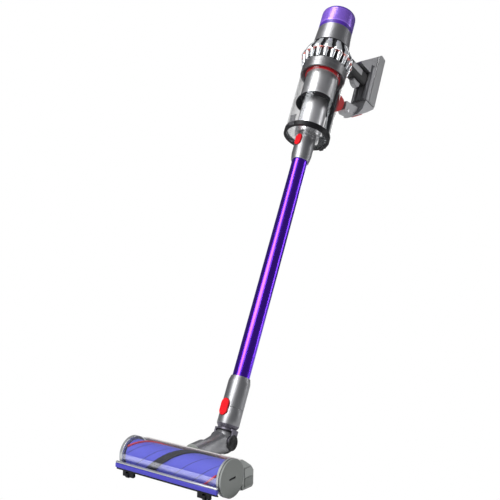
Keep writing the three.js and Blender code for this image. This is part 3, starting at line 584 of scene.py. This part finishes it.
# ------------------------------------------------------------ bin and lid
def bin_and_lid():
    bottom, top = 770.4, 938
    shell = [(55, bottom), (56.2, bottom), (57, bottom + 0.8), (57, top - 0.6), (56.6, top), (55, top)]
    lathe("bin_shell_wall", shell, CLEAR, "bin", ("bin_shell",), segments=144)
    for node, bevel in (("hinge_bracket", 0.5), ("lid_catch", 0.6), ("lid_ring", 0.5)):
        dressed(node, bevel)
    plate = tube_points(51, 20.7, 758.2, 761.2)
    lathe("lid_window_plate", plate, CLEAR, "lid", ("lid_window",), segments=128)
    rib = block_mesh("lid_rib", (22, -0.5, 757.9), (50.5, 0.5, 758.3))
    repeated("lid_ribs", rib, SMOKE, "lid", WAND, per_turn=28)
    flare = [(17.5, 716), (19.8, 716), (20.4, 717), (20.4, 761.5), (31, 761.5), (33, 783.4), (30.5, 783.4),
             (28.5, 764.5), (17.5, 764.5)]
    lathe("lid_nozzle_shell", flare, SILVER, "lid", ("lid_nozzle",))


# ------------------------------------------------------------ cyclone, motor, filter
CONES = 14


def petals(name, points, depth, material, replaces):
    """A turned shell pressed in between the cones, with painted shade in black between the cones and across the
    top, so that each cone stands out as a bright petal.
    """
    mesh = lathe_mesh(name, points, Matrix.Identity(4), CONES * 16)
    low, high = points[0][1], max(height for _, height in points)

    def between(spot):
        """0 in the middle of a cone and 1 halfway to the next."""
        return 1 - abs(math.cos(CONES / 2 * math.atan2(spot.y, spot.x)))

    for look in (material, BLACK):
        mesh.materials.append(look)
    for face in mesh.polygons:
        rise = (face.center.z - low) / (high - low)
        # painted shade and dark reflection: black between the cones, wider towards the top, and across the top band
        painted_shade = between(face.center) > 0.62 - 0.42 * rise or rise > 0.86
        face.material_index = int(painted_shade)
    for vert in mesh.vertices:
        radius = math.hypot(vert.co.x, vert.co.y)
        room = max(0.0, min(1.0, (radius - 52) / 6))  # nothing is pressed near the shell's bore
        pressed = 1 - depth * between(vert.co) * room / radius
        vert.co.x *= pressed
        vert.co.y *= pressed
    mesh.transform(WAND)
    smooth(mesh, 50)
    return add_piece(name, mesh, None, "handheld", replaces)


def cyclone_and_motor():
    duct = tube_points(32.6, 30.2, 784, 936)
    lathe("inlet_duct_shell", duct, SILVER, "handheld", ("inlet_duct",))
    skirt = [(40.5, 868), (47.6, 856), (48.4, 853), (50, 853), (50, 856), (48.4, 860), (45.6, 864.6),
             (43.2, 869.6), (40.5, 869.6)]
    lathe("skirt_bowl", skirt, BLACK, "handheld", ("skirt",))
    lathe("shroud_sleeve", tube_points(42.7, 41, 870, 939.5), SILVER, "handheld", ("shroud",))
    hole = stub_mesh("hole", 0.75, 42.2, 43, 6)
    repeated("shroud_holes", hole, BLACK, "handheld", WAND @ Matrix.Translation((0, 0, 874)),
             per_turn=90, rows=22, rise=2.8, turn=2)
    lathe("red_band", tube_points(45.7, 38, 939.8, 949), RED, "handheld", ("red_ring",), bevel=0.4)
    collar = [(46.2, 949.3), (55, 939.4), (58, 939.4), (58.5, 940), (58.5, 953), (58.1, 953.4),
              (58.1, 954.2), (58.5, 954.6), (58.5, 966.4), (58, 967), (46.2, 967)]
    lathe("collar_band", collar, COLLAR_GREY, "handheld", ("collar",), segments=144)
    core = [(44, 967.3), (57, 967.3), (58.5, 972), (60.5, 989.4), (44, 989.4)]
    lathe("cone_core", core, BLACK, "handheld", ("cyclone_cones",))
    cone = stub_mesh("cone", 4.6, 967.8, 989.8, 16, 1.55)
    cone.transform(Matrix.Rotation(math.radians(-90), 4, "Y"))
    for vert in cone.vertices:  # each cone leans out as it rises
        low_part = (989.6 - vert.co.z) / 21.8
        vert.co.x += 60 - 3 * low_part
    repeated("cone_tips", cone, NICKEL, "handheld", WAND, per_turn=20)
    lathe("copper_line", tube_points(66.9, 60, 989.9, 990.5), COPPER, "handheld")
    pack = [(56, 990.6), (66, 990.6), (68.2, 991.2), (69, 992.6), (69, 994.6), (68.3, 998), (67, 1002),
            (64.9, 1007.2), (62, 1013), (58.5, 1019), (55.4, 1024), (52.6, 1029), (51.2, 1031.6),
            (50.4, 1033.7), (44.5, 1033.7), (44.5, 1027), (52, 1011), (56, 998)]
    petals("cyclone_petals", pack, 6, NICKEL, ("cyclone_pack",))
    housing = [(44.5, 1034), (48, 1034), (48.5, 1034.6), (47.2, 1060), (45.6, 1086.2), (45.2, 1086.7), (42, 1086.7)]
    lathe("motor_housing_shell", housing, GUNMETAL, "handheld", ("motor_housing",), segments=128)
    for node in ("motor_can", "rotor"):
        dressed(node)


def filter_and_screen():
    cap = [(43.4, 1087), (45, 1087), (45.2, 1087.4), (45.2, 1137), (44.9, 1139.6), (44, 1142.4),
           (42.4, 1144.8), (40, 1146.3), (36.5, 1147), (33, 1146.4), (31.3, 1145), (31.3, 1142.6),
           (40.6, 1142.6), (42.6, 1141.2), (43.4, 1138)]
    lathe("filter_cap_shell", cap, TINTED, "filter", ("filter_cap",), segments=128)
    fold = [(36, 0), (41.8, 2.05), (41.8, 2.45), (35.6, 0.5), (35.6, -0.5), (41.8, -2.45), (41.8, -2.05)]
    pleat = prism_mesh("pleat", [(*spot, 1090) for spot in fold], [(*spot, 1137) for spot in fold])
    repeated("filter_folds", pleat, PAPER, "filter", WAND, per_turn=52, replaces=("filter_pleats",))
    slot = block_mesh("slot", (44.7, -1.5, -0.45), (45.36, 1.5, 0.45))
    repeated("cap_lattice", slot, DEEP_VIOLET, "filter",
             WAND @ Matrix.Translation((0, 0, 1103)), per_turn=72, rows=14, rise=2.5, turn=2.5)
    lathe("cap_band", tube_points(45.39, 44.6, 1087.3, 1098), DEEP_VIOLET, "filter", bevel=0.2)
    rim = [(44.3, 1139), (45.2, 1139), (45, 1141), (44.4, 1143.2), (42.8, 1145.3), (41.5, 1145.3), (43.2, 1142)]
    lathe("cap_rim", rim, DEEP_VIOLET, "filter")
    for node in ("rear_core", "display", "mode_button"):
        dressed(node, 0.4)
    lathe("screen_ring", tube_points(15.5, 14.9, 1142.1, 1142.26), SILVER, "handheld")


# ------------------------------------------------------------ handle
def handle():
    bevels = {"grip": 1.2, "grip_saddle": 0.4, "trigger": 1.2, "battery_dock": 0.9, "battery_pack": 2.2,
              "handle_foot": 1.1, "bin_rail": 0.8, "battery_release": 0.9, "bin_lever": 1.6, "strut_pin": 0.8}
    for node, bevel in bevels.items():
        dressed(node, bevel, segments=3 if bevel > 1 else 2)


# ------------------------------------------------------------ camera, lights and floor
VIEW_TURN, VIEW_DROP, VIEW_ROLL = 36.02, -0.82, 0.95  # degrees
LENS_MM = 47.805
VIEW_FROM = Vector((0.84711, -1.62697, -0.52284))


def set_camera():
    turn, drop, roll = (math.radians(a) for a in (VIEW_TURN, VIEW_DROP, VIEW_ROLL))
    ahead = Vector((-math.sin(turn) * math.cos(drop), math.cos(turn) * math.cos(drop), -math.sin(drop)))
    level = Vector((math.cos(turn), math.sin(turn), 0))
    upright = level.cross(ahead)
    right = level * math.cos(roll) + upright * math.sin(roll)
    up = upright * math.cos(roll) - level * math.sin(roll)
    camera = bpy.data.objects.new("camera", bpy.data.cameras.new("camera"))
    camera.data.lens = LENS_MM
    camera.data.sensor_width = 36
    turned = Matrix((right, up, -ahead)).transposed().to_4x4()
    camera.matrix_world = Matrix.Translation(VIEW_FROM) @ turned
    bpy.context.scene.collection.objects.link(camera)
    bpy.context.scene.camera = camera
    return ahead, right, up


def add_light(name, place, target, size, power):
    light = bpy.data.lights.new(name, "AREA")
    light.shape = "RECTANGLE"
    light.size, light.size_y = size
    light.energy = power
    lamp = bpy.data.objects.new(name, light)
    aim = (target - place).to_track_quat("-Z", "Y")
    lamp.matrix_world = Matrix.Translation(place) @ aim.to_matrix().to_4x4()
    bpy.context.scene.collection.objects.link(lamp)


def split_by_camera_ray(tree, seen, unseen, output):
    path = tree.nodes.new("ShaderNodeLightPath")
    mix = tree.nodes.new("ShaderNodeMixShader")
    tree.links.new(path.outputs["Is Camera Ray"], mix.inputs[0])
    tree.links.new(unseen.outputs[0], mix.inputs[1])
    tree.links.new(seen.outputs[0], mix.inputs[2])
    tree.links.new(mix.outputs[0], output.inputs[0])


def set_studio(ahead, right, up):
    scene = bpy.context.scene
    scene.view_settings.view_transform = "Standard"
    world = bpy.data.worlds.new("studio")
    scene.world = world
    world.use_nodes = True
    tree = world.node_tree
    seen = tree.nodes["Background"]
    seen.inputs["Color"].default_value = (1, 1, 1, 1)
    unseen = tree.nodes.new("ShaderNodeBackground")
    unseen.inputs["Color"].default_value = (0.9, 0.92, 1, 1)
    unseen.inputs["Strength"].default_value = 0.16
    split_by_camera_ray(tree, seen, unseen, tree.nodes["World Output"])

    mesh = block_mesh("floor", (-3000, -3000, -4), (3000, 3000, 0), Matrix.Scale(MM, 4))
    mesh.transform(Matrix.Translation((0, 0, FLOOR_Z)))
    floor = bpy.data.objects.new("floor", mesh)
    scene.collection.objects.link(floor)
    pale = bpy.data.materials.new("pale_floor")
    pale.use_nodes = True
    matte = pale.node_tree.nodes["Principled BSDF"]
    matte.inputs["Base Color"].default_value = (0.8, 0.8, 0.8, 1)
    matte.inputs["Roughness"].default_value = 0.9
    gone = pale.node_tree.nodes.new("ShaderNodeBsdfTransparent")
    split_by_camera_ray(pale.node_tree, gone, matte, pale.node_tree.nodes["Material Output"])
    mesh.materials.append(pale)

    middle = Vector((0, -0.25, -0.35))
    add_light("key", middle - right * 1.4 - ahead * 1.5 + up * 0.85, middle, (1.0, 2.5), 54)
    add_light("top", middle - right * 0.75 - ahead * 0.4 + up * 2.1, middle, (0.8, 1.4), 34)
    add_light("gloss", ROLLER - right * 0.55 - ahead * 0.7 + up * 1.4, ROLLER, (1.5, 0.45), 8)
    add_light("edge", middle + right * 1.7 + ahead * 0.2, middle, (0.25, 2.4), 10)
    add_light("back", middle + ahead * 2.2 + right * 0.6 + up * 0.8, middle, (1.0, 1.6), 16)


cleaner_head()
neck_and_wand()
bin_and_lid()
cyclone_and_motor()
filter_and_screen()
handle()
set_studio(*set_camera())
